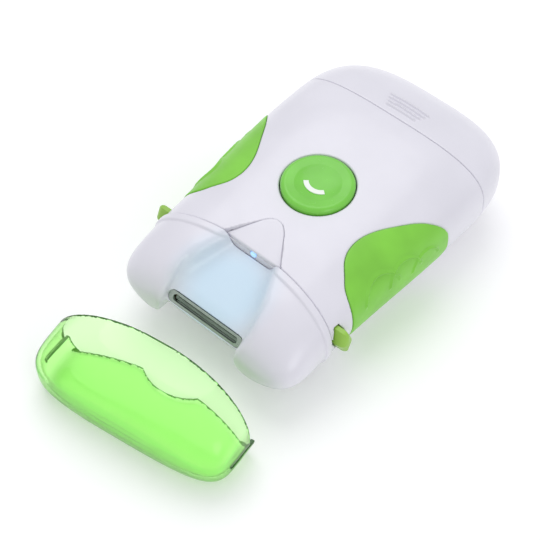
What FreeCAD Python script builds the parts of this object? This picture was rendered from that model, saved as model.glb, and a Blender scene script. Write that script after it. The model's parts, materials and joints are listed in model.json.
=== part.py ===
"""Battery nail grinder with a pull-off head and a clear cover, built as separate named pieces.

Frame: millimetres, +Z up, the flat base at z = 0, X across the body, -Y towards the grinding head.
The origin is on the base straight under the middle of the round power button.
The clear cover lies in front of the head, in line with it, resting on the same surface.
"""
import FreeCAD, Part
import math
import os

V = FreeCAD.Vector

# Overall shape
REAR_Y = 62.0            # rearmost point of the casing
FRONT_Y = -56.5          # foremost point of the head's lobes
SPLIT_Z = 14.0           # parting plane between the upper and lower casings
HEAD_FLOOR_Z = 6.0       # underside of the head, clear of the surface for the cover
CASE_WALL = 1.8
HEAD_WALL = 1.6
SECTION_POINTS = 40      # points round one cross-section
HALF_WIDTH_FRONT = 34.4
HALF_WIDTH_REAR = 36.7
LOWER_POWER = 1.85       # squareness of the lower half of a cross-section
BASE_CUT = 6.0           # how far the lower half would reach below the flat base

# Seam between head and body: a vertical cylinder, so the seam bows in plan
SEAM_R = 150.0
SEAM_CENTRE_Y = -30.0 - SEAM_R
SEAM_GAP = 0.15
BEAD_WIDTH = 2.5
BEAD_RISE = 0.6

# Rear cap
CAP_SEAM_Y = 37.3
CAP_SEAM_GAP = 0.1
RIB_COUNT = 4
RIB_PITCH = 1.7
RIB_REAR_Y = 46.0
RIB_BOW_R = 60.0

# Slot, grinding drum and gear train
SLOT_Y = -51.6
SLOT_Z = 19.8
SLOT_TILT = 45.0         # the plate faces forwards and upwards
PLATE_LENGTH = 29.0
PLATE_HEIGHT = 3.5
PLATE_THICK = 1.0
SLOT_LENGTH = 25.5
SLOT_HEIGHT = 2.1
DRUM_R = 2.0
DRUM_LENGTH = 24.8
DRUM_DEPTH = 3.25        # from the plate's outer face back to the drum's axis
DRUM_Y = SLOT_Y + DRUM_DEPTH * math.cos(math.radians(SLOT_TILT))
DRUM_Z = SLOT_Z - DRUM_DEPTH * math.sin(math.radians(SLOT_TILT))
SHAFT_R = 1.0
GEAR_X = 17.0            # inner face of the gear plane
GEAR_WIDTH = 3.0
GEAR_GAP = 0.3           # between the tips of neighbouring gears
MOTOR_Y = -14.0
MOTOR_Z = 15.0
MOTOR_R = 10.0
MOTOR_LENGTH = 25.0
PINION_R = 3.0
BODY_IDLER_R = 7.0
DRUM_GEAR_R = 4.0

# Valley between the lobes
VALLEY_SLOPE = 0.36
VALLEY_FRONT_Y = -50.1
VALLEY_FRONT_Z = 21.3
VALLEY_WALL = 1.4        # thickness of the valley's floor
SCOOP_HALF = 14.6        # half the width between the lobes at the front

# Power button
BUTTON_R = 11.5
BUTTON_TOP_Z = 36.6
BUTTON_THICK = 3.2
DISH_R = 7.35

# Side release buttons
RELEASE_Y = -30.6
RELEASE_Z = 19.6
RELEASE_TIP_X = 38.2
RELEASE_HALF_Y = 2.7
RELEASE_HALF_Z = 4.3
SPRING_Y = RELEASE_Y + 2.0   # the spring stands behind the seam's bulkhead

# Clear cover, as it sits on the head
COVER_WALL = 1.3
COVER_HALF = 34.8        # half its width
COVER_MIDDLE_Z = 14.0    # height of its widest line
COVER_TOP_Z = 30.6
COVER_BASE_Z = 4.35      # its flat underside
COVER_BASE_CUT = 5.0     # how far its lower half would reach below the flat underside
COVER_FRONT_Y = -68.6
COVER_ROUNDING_Y = -43.0     # where its top starts to curve down to the front
COVER_TOP_EDGE_Y = -45.0     # opening edge of the upper wall, at the middle
COVER_LOW_EDGE_Y = -41.8     # opening edge of the lower wall, at the middle
COVER_SIDE_EDGE_Y = -50.5    # opening edge at both sides
SLIT_LOW_Z = 10.9
SLIT_HIGH_Z = 12.1
SLIT_LENGTH = 9.4
TAB_LOW_Z = 5.4
TAB_REACH = 2.5
NOTCH_R = 15.6
NOTCH_DEPTH = 4.4

# Where the cover lies: moved from the head by one turn about a distant, nearly upright axis
COVER_TURN = 7.4         # degrees
COVER_PLACE_ON = (0.0, -57.0)
COVER_PLACE_OFF = (1.2, -81.2)
COVER_LOWERED = 3.72

# Batteries: three AAA cells side by side
CELL_R = 5.25
CELL_LENGTH = 44.5
CELL_PITCH = 11.3
CELL_Y = 1.6
CELL_Z = 10.2
TRAY_Z = 3.4

BIG = 200.0


# ---------- small shape helpers ----------

def box(x0, x1, y0, y1, z0, z1):
    return Part.makeBox(x1 - x0, y1 - y0, z1 - z0, V(x0, y0, z0))


def rod_x(x0, x1, y, z, radius):
    return Part.makeCylinder(radius, x1 - x0, V(x0, y, z), V(1, 0, 0))


def rod_y(y0, y1, x, z, radius):
    return Part.makeCylinder(radius, y1 - y0, V(x, y0, z), V(0, 1, 0))


def rod_z(z0, z1, x, y, radius):
    return Part.makeCylinder(radius, z1 - z0, V(x, y, z0), V(0, 0, 1))


def prism_x(points, x0, x1):
    """Solid with a polygon in the YZ plane, from x0 to x1."""
    corners = [V(x0, y, z) for y, z in points]
    face = Part.Face(Part.makePolygon(corners + [corners[0]]))
    return face.extrude(V(x1 - x0, 0, 0))


def mirrored(shape):
    return shape.mirror(V(0, 0, 0), V(1, 0, 0))


def save(name, shape):
    """Write one piece, after a check that it is sound and not empty."""
    if not shape.isValid() or shape.Volume < 0.05:
        raise ValueError("bad shape: " + name)
    shape.exportStep("parts/" + name + ".step")
    print("%-18s solids %d  volume %9.1f" % (name, len(shape.Solids), shape.Volume))


def in_slot_frame(shape):
    """Turn a shape drawn flat on the XY plane to face out of the slot, +Z becoming its outward side."""
    placed = shape.copy()
    placed.rotate(V(0, 0, 0), V(1, 0, 0), SLOT_TILT)
    placed.translate(V(0, SLOT_Y, SLOT_Z))
    return placed


# ---------- the pebble shape of the whole casing ----------

def ease(value):
    value = max(0.0, min(1.0, value))
    return value * value * (3.0 - 2.0 * value)


def closing(y, start, end, power):
    """1 before start, falling to 0 at end along a superellipse."""
    part = (y - start) / (end - start)
    if part <= 0.0:
        return 1.0
    return max(0.0, 1.0 - part ** power) ** (1.0 / power)


def section_sizes(y, grow):
    """Half width, middle height, rise, drop and upper squareness of the casing at y."""
    rear = REAR_Y + grow
    front = FRONT_Y - grow
    half = HALF_WIDTH_FRONT + (HALF_WIDTH_REAR - HALF_WIDTH_FRONT) * ease((y + 30.0) / 55.0) + grow
    half *= closing(y, 30.0, rear, 3.0) * closing(y, -36.0, front, 5.0)
    middle = 19.0 - 3.5 * ease((-25.0 - y) / 30.0)
    rise = 36.0 - 0.0011 * (y - 20.0) ** 2 + grow - middle
    rise *= closing(y, 25.0, rear, 2.6) * closing(y, -30.0, front, 2.3)
    drop = middle + BASE_CUT + grow
    drop *= closing(y, 35.0, rear, 2.5) * closing(y, -28.0, front, 1.9)
    upper_power = 2.6 + 0.5 * ease((y + 35.0) / 60.0)
    return half, middle, rise, drop, upper_power


def section_wire(y, grow):
    half, middle, rise, drop, upper_power = section_sizes(y, grow)
    points = []
    for index in range(SECTION_POINTS):
        angle = 2.0 * math.pi * index / SECTION_POINTS
        across = math.cos(angle)
        up = math.sin(angle)
        power = upper_power if up >= 0.0 else LOWER_POWER
        height = rise if up >= 0.0 else drop
        scale = (abs(across) ** power + abs(up) ** power) ** (-1.0 / power)
        points.append(V(half * across * scale, y, middle + height * up * scale))
    curve = Part.BSplineCurve()
    steps = [index / SECTION_POINTS for index in range(SECTION_POINTS + 1)]
    curve.interpolate(Points=points, PeriodicFlag=True, Parameters=steps)
    return Part.Wire(curve.toShape())


def pebble(grow):
    """Closed solid of the casing's outer shape, grown or shrunk by a wall."""
    front = FRONT_Y - grow
    rear = REAR_Y + grow
    blunt = [0.994, 0.975, 0.94, 0.88, 0.80, 0.68, 0.52, 0.34, 0.16]
    front_cuts = [-30.0 + (front + 30.0) * part for part in blunt]
    middle_cuts = [-24.0, -16.0, -8.0, 0.0, 8.0, 16.0, 24.0]
    rear_cuts = [28.0 + (rear - 28.0) * part for part in reversed(blunt)]
    wires = [section_wire(y, grow) for y in front_cuts + middle_cuts + rear_cuts]
    return Part.makeLoft(wires, True, False)


def above(z):
    return box(-BIG, BIG, -BIG, BIG, z, BIG)


def below(z):
    return box(-BIG, BIG, -BIG, BIG, -BIG, z)


def seam_cylinder(offset):
    """Everything in front of the bowed head seam, moved back by offset."""
    return rod_z(-BIG / 4, BIG / 4, 0.0, SEAM_CENTRE_Y, SEAM_R + offset)


# ---------- body casings ----------

GRIP_BORDER = [(36.0, -24.8), (31.0, -23.0), (26.8, -19.6), (23.8, -16.2), (22.0, -12.2), (21.8, -7.8),
               (23.8, -1.2), (27.4, 5.4), (31.2, 11.8), (34.6, 16.4), (38.0, 22.0)]
GRIP_LOW_Z = 6.0
GRIP_DEPTH = 1.3
GRIP_RISE = 0.25


def grip_column(gap):
    """Upright block whose inner side is the grip's border seen from above, grown by gap."""
    curve = Part.BSplineCurve()
    curve.interpolate([V(x - gap, y, 0) for x, y in GRIP_BORDER])
    edge = curve.toShape()
    first = V(GRIP_BORDER[0][0] - gap, GRIP_BORDER[0][1], 0)
    last = V(GRIP_BORDER[-1][0] - gap, GRIP_BORDER[-1][1], 0)
    out_front = V(50, first.y, 0)
    out_rear = V(50, last.y, 0)
    rest = Part.makePolygon([last, out_rear, out_front, first])
    face = Part.Face(Part.Wire([edge] + rest.Edges))
    column = face.extrude(V(0, 0, 40.0 - GRIP_LOW_Z + gap))
    column.translate(V(0, 0, GRIP_LOW_Z - gap))
    return column


def brow_column(gap, z0, z1):
    """Upright rounded triangle over the valley's rear end."""
    half = 10.0 + gap
    front = -29.8
    apex = -17.4 + gap
    round_y = apex - 1.5
    wires = Part.Wire([
        Part.makeLine(V(-half, front, 0), V(half, front, 0)),
        Part.makeLine(V(half, front, 0), V(2.2, round_y, 0)),
        Part.Arc(V(2.2, round_y, 0), V(0, apex, 0), V(-2.2, round_y, 0)).toShape(),
        Part.makeLine(V(-2.2, round_y, 0), V(-half, front, 0)),
    ])
    column = Part.Face(wires).extrude(V(0, 0, z1 - z0))
    column.translate(V(0, 0, z0))
    return column


BROW_FLOOR_Z = 30.6
BROW_FRONT_Y = -29.8
BROW_FRONT_Z = 31.6
BROW_SLOPE = 0.30
SCREW_PLACES = [(-21.4, -6.5), (21.4, -6.5), (-21.4, 29.5), (21.4, 29.5)]
SCREW_HEAD_Z = 1.7       # inside its well, clear of the rounded underside
BOSS_R = 3.0
WELL_FLOOR_Z = 32.2
LAMP_Z = 29.5
LAMP_R = 1.0


def body_casing(outer, inner):
    """Hollow body from the head seam to the rear cap, with a bulkhead behind the seam."""
    body = outer.common(above(0.0)).cut(seam_cylinder(SEAM_GAP))
    body = body.common(box(-BIG, BIG, -BIG, CAP_SEAM_Y, -BIG, BIG))
    hollow = inner.common(above(CASE_WALL)).cut(seam_cylinder(SEAM_GAP + CASE_WALL))
    body = body.cut(hollow)
    gear_window = box(GEAR_X - 1.2, GEAR_X + GEAR_WIDTH + 1.2, -40.0, -27.0, 8.0, 26.0)
    return body.cut(gear_window)


def release_outline(x, shrink):
    """Upright six-cornered outline of a release button at distance x from the middle."""
    half_y = RELEASE_HALF_Y - shrink
    half_z = RELEASE_HALF_Z - 1.3 * shrink
    corners = [V(x, RELEASE_Y - half_y, RELEASE_Z), V(x, RELEASE_Y - 0.8, RELEASE_Z - half_z),
               V(x, RELEASE_Y + 0.8, RELEASE_Z - half_z), V(x, RELEASE_Y + half_y, RELEASE_Z),
               V(x, RELEASE_Y + 0.8, RELEASE_Z + half_z), V(x, RELEASE_Y - 0.8, RELEASE_Z + half_z)]
    return Part.makePolygon(corners + [corners[0]])


def release_hole(side):
    hole = Part.Face(release_outline(25.6, -0.3)).extrude(V(20.0, 0, 0))
    return hole if side > 0 else mirrored(hole)


def grip_recess(recess_core):
    """What the side casing loses for one grip."""
    column = grip_column(0.05)
    return column.cut(recess_core)


def top_shell(body, recess):
    shell = body.common(above(SPLIT_Z))
    shell = shell.fuse(rod_z(30.8, 34.6, 0, 0, BUTTON_R + 1.7))
    shell = shell.cut(rod_z(WELL_FLOOR_Z, BIG, 0, 0, BUTTON_R + 0.35))
    shell = shell.cut(rod_z(0, BIG, 0, 0, 4.0))
    for x, y in SCREW_PLACES:
        shell = shell.fuse(rod_z(SPLIT_Z, 33.0, x, y, BOSS_R).cut(rod_z(SPLIT_Z, 21.0, x, y, 1.1)))
    shell = shell.cut(brow_column(0.05, BROW_FLOOR_Z, 45.0))
    shell = shell.cut(rod_y(-32.0, -20.0, 0, LAMP_Z, LAMP_R + 0.05))
    for side in (-1, 1):
        shell = shell.cut(release_hole(side))
    return shell.cut(recess).cut(mirrored(recess))


def bottom_shell(body, recess):
    shell = body.common(below(SPLIT_Z))
    for x, y in SCREW_PLACES:
        shell = shell.fuse(rod_z(1.0, SPLIT_Z, x, y, BOSS_R))
        shell = shell.cut(rod_z(2.8, BIG, x, y, 1.1))
        shell = shell.cut(rod_z(-1.0, 2.8, x, y, 2.6))
    for y in (8.0, 28.0):
        shell = shell.fuse(box(-14.0, 14.0, y, y + 1.5, 1.0, TRAY_Z))
    return shell.cut(recess).cut(mirrored(recess))


def housing_screws():
    screws = []
    for x, y in SCREW_PLACES:
        head = rod_z(SCREW_HEAD_Z, 2.75, x, y, 2.4)
        cross_z = SCREW_HEAD_Z + 0.7
        cross = box(x - 1.3, x + 1.3, y - 0.3, y + 0.3, 0.0, cross_z)
        cross = cross.fuse(box(x - 0.3, x + 0.3, y - 1.3, y + 1.3, 0.0, cross_z))
        screws.append(head.fuse(rod_z(2.7, 19.0, x, y, 1.05)).cut(cross))
    return Part.makeCompound(screws)


def side_grip(skin, core):
    """Soft grip that fills its recess and stands a little proud, with raised arcs."""
    grip = grip_column(0.0).common(skin).cut(core)
    grip = grip.common(box(0, 50, -40, 40, GRIP_LOW_Z, 40))
    return grip


def grip_arcs(skin):
    """Overlapping raised arcs on a grip's side."""
    arcs = []
    for y, z, radius in ((-11.0, 21.0, 8.0), (-1.0, 20.5, 7.5), (8.0, 19.0, 6.5)):
        ring = rod_x(25.0, 50.0, y, z, radius).cut(rod_x(25.0, 50.0, y, z, radius - 0.8))
        arcs.append(ring.common(above(z + 1.0)).common(skin))
    return arcs


def rear_cap(outer, inner, rib_skin, tongue_out, tongue_in):
    """Battery cover: rear end of the casing, with a tongue that plugs into the body."""
    seam = CAP_SEAM_Y + CAP_SEAM_GAP
    behind = box(-BIG, BIG, seam, BIG, -BIG, BIG)
    cap = outer.common(above(0.0)).common(behind)
    cap = cap.cut(inner.common(above(CASE_WALL)))
    tongue = tongue_out.common(above(CASE_WALL + 0.4)).cut(tongue_in.common(above(CASE_WALL + 1.6)))
    tongue = tongue.common(box(-BIG, BIG, 33.6, 41.0, -BIG, BIG))
    collar = inner.common(above(CASE_WALL)).cut(tongue_in.common(above(CASE_WALL + 1.6)))
    collar = collar.common(box(-BIG, BIG, 38.8, 41.0, -BIG, BIG))
    cap = cap.fuse(collar).fuse(tongue)
    for index in range(RIB_COUNT):
        radius = RIB_BOW_R - RIB_PITCH * index
        centre_y = RIB_REAR_Y - RIB_BOW_R
        ring = rod_z(30.0, 45.0, 0, centre_y, radius).cut(rod_z(30.0, 45.0, 0, centre_y, radius - 0.7))
        reach = 7.8 - 0.7 * index
        rib = ring.common(box(-reach, reach, 30, 50, 30, 45)).common(rib_skin)
        cap = cap.fuse(rib)
    return cap


# ---------- head ----------

def valley_cutter(drop):
    """Trough between the lobes, sloping from the brow to the slot; drop moves it into the wall."""
    wires = []
    for y, narrow, spread in ((-28.0, 6.8, 0.5), (-50.0, 13.6, 1.0), (-62.0, 15.5, 1.0)):
        floor = VALLEY_FRONT_Z + VALLEY_SLOPE * (y - VALLEY_FRONT_Y) - drop
        half = narrow + drop
        points = [(half + 9.0 * spread, 15.0), (half + 4.2 * spread, 6.0), (half + 1.4 * spread, 1.8),
                  (half - 2.0 * spread, 0.25), (half * 0.5, 0.0)]
        right = [V(x, y, floor + z) for x, z in points]
        left = [V(-x, y, floor + z) for x, z in reversed(points)]
        curve = Part.BSplineCurve()
        curve.interpolate(right + left)
        lid = Part.makeLine(left[-1], right[0])
        wires.append(Part.Wire([curve.toShape(), lid]))
    return Part.makeLoft(wires, True, True)


def inset_chain(points, inset):
    """Move an open chain of (y, z) points to its left-hand side by inset, keeping its corners."""
    normals = []
    for start, end in zip(points, points[1:]):
        length = math.hypot(end[0] - start[0], end[1] - start[1])
        normals.append((-(end[1] - start[1]) / length, (end[0] - start[0]) / length))
    normals = [normals[0]] + normals + [normals[-1]]
    moved = []
    for point, before, after in zip(points, normals, normals[1:]):
        share = inset / (1.0 + before[0] * after[0] + before[1] * after[1])
        moved.append((point[0] + share * (before[0] + after[0]), point[1] + share * (before[1] + after[1])))
    return moved


LIP_DROP = 2.45          # from the middle of the slot down the slot plane to the lip's edge


def front_cutter(inset, half):
    """What is missing in front of the slot plate and under it, between the lobes."""
    tilt = math.radians(SLOT_TILT)
    along_y = math.cos(tilt)
    along_z = math.sin(tilt)
    top = (SLOT_Y + 8.0 * along_y, SLOT_Z + 8.0 * along_z)
    lip = (SLOT_Y - LIP_DROP * along_y, SLOT_Z - LIP_DROP * along_z)
    chin = (lip[0] + 2.5, lip[1] - 4.3)
    under = (chin[0] + 20.0, chin[1] - 15.0)
    chain = inset_chain([top, lip, chin, under], inset)
    return prism_x(chain + [(-90.0, chain[-1][1]), (-90.0, chain[0][1])], -half, half)


def lobe_undercut(inset):
    """Wedge that takes the lower inner corners off the two lobes."""
    start_y = -46.0 + inset
    corners = [(-14.6 - inset, 13.6), (14.6 + inset, 13.6), (28.0 + inset, 0.2), (28.0 + inset, -5.0),
               (-28.0 - inset, -5.0), (-28.0 - inset, 0.2)]
    points = [V(x, start_y, z + 0.4 * inset) for x, z in corners]
    return Part.Face(Part.makePolygon(points + [points[0]])).extrude(V(0, -60.0, 0))


def head_solid(outer, bead_skin, bead_core):
    solid = outer.common(above(HEAD_FLOOR_Z)).common(seam_cylinder(-SEAM_GAP))
    bead = bead_skin.cut(bead_core).common(above(HEAD_FLOOR_Z)).common(seam_cylinder(-SEAM_GAP))
    bead = bead.cut(seam_cylinder(-SEAM_GAP - BEAD_WIDTH))
    solid = solid.fuse(bead)
    solid = solid.cut(valley_cutter(0.0))
    return solid.cut(front_cutter(0.0, SCOOP_HALF)).cut(lobe_undercut(0.0))


def head_hollow(inner):
    hollow = inner.common(above(HEAD_FLOOR_Z + HEAD_WALL)).common(seam_cylinder(5.0))
    hollow = hollow.cut(valley_cutter(VALLEY_WALL))
    hollow = hollow.cut(front_cutter(PLATE_THICK, SCOOP_HALF + 1.4))
    return hollow.cut(lobe_undercut(1.4))


def plate_block(length, height, thick, outward):
    """Round-ended block on the slot plane, reaching outward mm in front of it."""
    radius = height / 2.0
    flat = length / 2.0 - radius
    block = box(-flat, flat, -radius, radius, outward - thick, outward)
    for side in (-1, 1):
        block = block.fuse(rod_z(outward - thick, outward, side * flat, 0.0, radius))
    return in_slot_frame(block)


def slot_plate():
    plate = plate_block(PLATE_LENGTH, PLATE_HEIGHT, PLATE_THICK, 0.0)
    return plate.cut(plate_block(SLOT_LENGTH, SLOT_HEIGHT, 4.0, 2.0))


BUSH_X = 13.0
BUSH_WIDTH = 2.0


def drum_bushes():
    """Two bearing blocks for the drum's shaft, square to the slot plane."""
    blocks = []
    for x0 in (-BUSH_X - BUSH_WIDTH, BUSH_X):
        block = in_slot_frame(box(x0, x0 + BUSH_WIDTH, -1.25, 1.25, -5.2, -1.5))
        blocks.append(block.cut(rod_x(x0 - 1, x0 + 4, DRUM_Y, DRUM_Z, SHAFT_R + 0.05)))
    return Part.makeCompound(blocks)


def bush_cradles(hollow):
    """Upright ribs of the head's lower casing that carry the bearing blocks."""
    ribs = []
    for x0 in (-BUSH_X - BUSH_WIDTH, BUSH_X):
        ribs.append(box(x0, x0 + BUSH_WIDTH, DRUM_Y + 1.6, DRUM_Y + 7.0, 0.0, SPLIT_Z).common(hollow))
    return ribs[0].fuse(ribs[1]).cut(drum_bushes())


def head_casings(outer, inner, bead_skin, bead_core):
    shell = head_solid(outer, bead_skin, bead_core).cut(head_hollow(inner))
    shell = shell.cut(plate_block(PLATE_LENGTH + 0.1, PLATE_HEIGHT + 0.1, 3.0, 1.0))
    upper = shell.common(above(SPLIT_Z))
    lower = shell.common(below(SPLIT_Z))
    return upper, lower


# ---------- gear train ----------

def train_points():
    """Centres (y, z) and radii of the body idler and the head idler, in line from motor to drum."""
    span = math.hypot(DRUM_Y - MOTOR_Y, DRUM_Z - MOTOR_Z)
    along = ((DRUM_Y - MOTOR_Y) / span, (DRUM_Z - MOTOR_Z) / span)
    body_at = PINION_R + GEAR_GAP + BODY_IDLER_R
    left_over = span - body_at - BODY_IDLER_R - 2.0 * GEAR_GAP - DRUM_GEAR_R
    head_r = left_over / 2.0
    head_at = body_at + BODY_IDLER_R + GEAR_GAP + head_r
    body_centre = (MOTOR_Y + along[0] * body_at, MOTOR_Z + along[1] * body_at)
    head_centre = (MOTOR_Y + along[0] * head_at, MOTOR_Z + along[1] * head_at)
    return body_centre, head_centre, head_r


def gear(y, z, tip_r, bore_r, teeth):
    """Toothed wheel in the gear plane; the teeth are notches round a disc."""
    wheel = rod_x(GEAR_X, GEAR_X + GEAR_WIDTH, y, z, tip_r)
    depth = 0.9
    width = math.pi * tip_r / teeth
    notch = prism_x([(y + tip_r - depth, z - width * 0.3), (y + tip_r + 1, z - width * 0.55),
                     (y + tip_r + 1, z + width * 0.55), (y + tip_r - depth, z + width * 0.3)],
                    GEAR_X - 1, GEAR_X + GEAR_WIDTH + 1)
    notches = []
    for index in range(teeth):
        turned = notch.copy()
        turned.rotate(V(0, y, z), V(1, 0, 0), 360.0 * index / teeth)
        notches.append(turned)
    wheel = wheel.cut(notches)
    return wheel.cut(rod_x(GEAR_X - 1, GEAR_X + GEAR_WIDTH + 1, y, z, bore_r))


def cutter_drum():
    """Grinding drum with fine lengthwise ribs."""
    half = DRUM_LENGTH / 2.0
    drum = rod_x(-half, half, DRUM_Y, DRUM_Z, DRUM_R)
    ribs = 18
    grooves = []
    for index in range(ribs):
        angle = 2.0 * math.pi * index / ribs
        y = DRUM_Y + (DRUM_R + 0.12) * math.cos(angle)
        z = DRUM_Z + (DRUM_R + 0.12) * math.sin(angle)
        grooves.append(rod_x(-half + 0.8, half - 0.8, y, z, 0.28))
    drum = drum.cut(grooves)
    return drum.cut(rod_x(-half - 1, half + 1, DRUM_Y, DRUM_Z, SHAFT_R))


def motor_parts():
    """Can with two flats, end cap, shaft and the cradle that holds it."""
    x0 = -13.0
    x1 = x0 + MOTOR_LENGTH
    flats = box(-BIG, BIG, MOTOR_Y - BIG, MOTOR_Y + BIG, MOTOR_Z - 7.6, MOTOR_Z + 7.6)
    can = rod_x(x0, x1, MOTOR_Y, MOTOR_Z, MOTOR_R)
    can = can.fuse(rod_x(x1, x1 + 1.5, MOTOR_Y, MOTOR_Z, 3.0)).common(flats)
    can = can.cut(rod_x(x0 - 5, x1 + 5, MOTOR_Y, MOTOR_Z, SHAFT_R + 0.05))
    cap = rod_x(x0 - 2.2, x0, MOTOR_Y, MOTOR_Z, MOTOR_R - 0.3).common(flats)
    for dy in (-5.5, 5.5):
        cap = cap.fuse(box(x0 - 5.0, x0 - 2.0, MOTOR_Y + dy - 1.0, MOTOR_Y + dy + 1.0,
                           MOTOR_Z - 0.3, MOTOR_Z + 0.3))
    cap = cap.cut(rod_x(x0 - 6, x0 + 1, MOTOR_Y, MOTOR_Z, SHAFT_R + 0.05))
    shaft = rod_x(x0 - 3.0, GEAR_X + GEAR_WIDTH + 0.5, MOTOR_Y, MOTOR_Z, SHAFT_R)
    cradle = box(x0 + 2, x1 - 2, MOTOR_Y - 11.5, MOTOR_Y + 11.5, CASE_WALL, MOTOR_Z)
    cradle = cradle.cut(rod_x(x0 - 1, x1 + 1, MOTOR_Y, MOTOR_Z, MOTOR_R + 0.02).common(above(MOTOR_Z - 7.6)))
    cradle = cradle.cut(box(x0 + 5, x1 - 5, -BIG, BIG, CASE_WALL + 3.0, BIG))
    return can, cap, shaft, cradle


# ---------- buttons, lamp, switch ----------

def power_button():
    """Round button with a raised rim and a dished middle, on a stem."""
    low = BUTTON_TOP_Z - BUTTON_THICK
    rim = 2.0
    outline = [V(0, 0, low), V(BUTTON_R, 0, low), V(BUTTON_R, 0, BUTTON_TOP_Z - 1.1)]
    edge = Part.Arc(outline[-1], V(BUTTON_R - 0.5, 0, BUTTON_TOP_Z - 0.35), V(BUTTON_R - rim, 0, BUTTON_TOP_Z))
    dish_edge = V(DISH_R, 0, BUTTON_TOP_Z - 0.25)
    dish = Part.Arc(dish_edge, V(DISH_R * 0.55, 0, BUTTON_TOP_Z - 1.05), V(0, 0, BUTTON_TOP_Z - 1.3))
    wire = Part.Wire(Part.makePolygon(outline).Edges
                     + [edge.toShape(), Part.makeLine(V(BUTTON_R - rim, 0, BUTTON_TOP_Z), dish_edge),
                        dish.toShape(), Part.makeLine(V(0, 0, BUTTON_TOP_Z - 1.3), V(0, 0, low))])
    button = Part.Face(wire).revolve(V(0, 0, 0), V(0, 0, 1), 360)
    button = button.fuse(rod_z(28.4, low + 0.2, 0, 0, 3.6))
    return button


MARK_R = 4.6
MARK_HALF_WIDTH = 0.8
MARK_Y = 1.5             # centre of the crescent's arc


def power_mark():
    """Crescent let into the dish of the button, its hollow side to the rear."""
    ring = rod_z(BUTTON_TOP_Z - 2.0, BUTTON_TOP_Z - 0.75, 0, MARK_Y, MARK_R + MARK_HALF_WIDTH)
    ring = ring.cut(rod_z(0, BIG, 0, MARK_Y, MARK_R - MARK_HALF_WIDTH))
    wedge = Part.makePolygon([V(0, MARK_Y, 0), V(-12, MARK_Y - 9.6, 0), V(12, MARK_Y - 9.6, 0), V(0, MARK_Y, 0)])
    return ring.common(Part.Face(wedge).extrude(V(0, 0, 60)))


def release_button(side):
    """Lozenge button on a stem that has a pocket for its spring."""
    base_x = 31.0
    tip = RELEASE_TIP_X
    cuts = [release_outline(x, shrink)
            for x, shrink in ((base_x, 0.0), (tip - 2.6, 0.0), (tip - 1.0, 0.9), (tip, 2.1))]
    knob = Part.makeLoft(cuts, True, True)
    stem = box(27.3, base_x + 0.2, RELEASE_Y - 0.4, RELEASE_Y + 4.4, RELEASE_Z - 2.4, RELEASE_Z + 2.4)
    button = knob.fuse(stem)
    button = button.cut(rod_x(26.0, 31.6, SPRING_Y, RELEASE_Z, 1.7))
    return button if side > 0 else mirrored(button)


def release_springs():
    """Coil springs with their posts, standing in the stems' pockets."""
    springs = []
    for side in (-1, 1):
        helix = Part.makeHelix(1.0, 4.0, 1.15)
        profile = Part.Wire(Part.makeCircle(0.22, V(1.15, 0, 0), V(0, 1, 0)))
        coil = Part.Wire(helix).makePipeShell([profile], True, True)
        coil.rotate(V(0, 0, 0), V(0, 1, 0), 90)
        coil.translate(V(25.6, SPRING_Y, RELEASE_Z))
        springs.append(coil if side > 0 else mirrored(coil))
    return Part.makeCompound(springs)


def spring_posts():
    """Ribs of the upper casing that the release springs push against."""
    return box(24.0, 25.3, SPRING_Y - 2.0, SPRING_Y + 3.0, SPLIT_Z, 34.0)


def brow():
    """Triangular hood with a flat top that slopes down to the front."""
    block = brow_column(0.0, BROW_FLOOR_Z, 37.0)
    reach = 25.0
    low = (BROW_FRONT_Y - reach, BROW_FRONT_Z - BROW_SLOPE * reach)
    high = (BROW_FRONT_Y + reach, BROW_FRONT_Z + BROW_SLOPE * reach)
    top = prism_x([low, high, (high[0], 50.0), (low[0], 50.0)], -20.0, 20.0)
    return block.cut(top)


def lamp():
    front = -29.9
    back = -26.0
    led = rod_y(front, back, 0, LAMP_Z, LAMP_R)
    board = box(-5.0, 5.0, back, back + 1.2, LAMP_Z - 4.0, LAMP_Z + 1.0)
    return led, board


def switch_parts():
    plunger = box(-1.2, 1.2, -1.2, 1.2, 25.6, 28.4)
    body = box(-4.0, 4.0, -3.0, 3.0, 22.6, 27.2).cut(box(-1.5, 1.5, -1.5, 1.5, 24.2, 30))
    board = box(-9.0, 9.0, -6.0, 12.0, 21.0, 22.6)
    return plunger, body, board


# ---------- batteries ----------

def cell_spring(x, cell_end, outward, length):
    """Hollow cone that stands for a coil contact between a cell's flat end and its plate."""
    start = V(x, cell_end, CELL_Z)
    direction = V(0, outward, 0)
    spring = Part.makeCone(1.6, 3.0, length, start, direction)
    core_start = V(x, cell_end - 0.01 * outward, CELL_Z)
    return spring.cut(Part.makeCone(1.0, 2.4, length + 0.02, core_start, direction))


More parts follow.
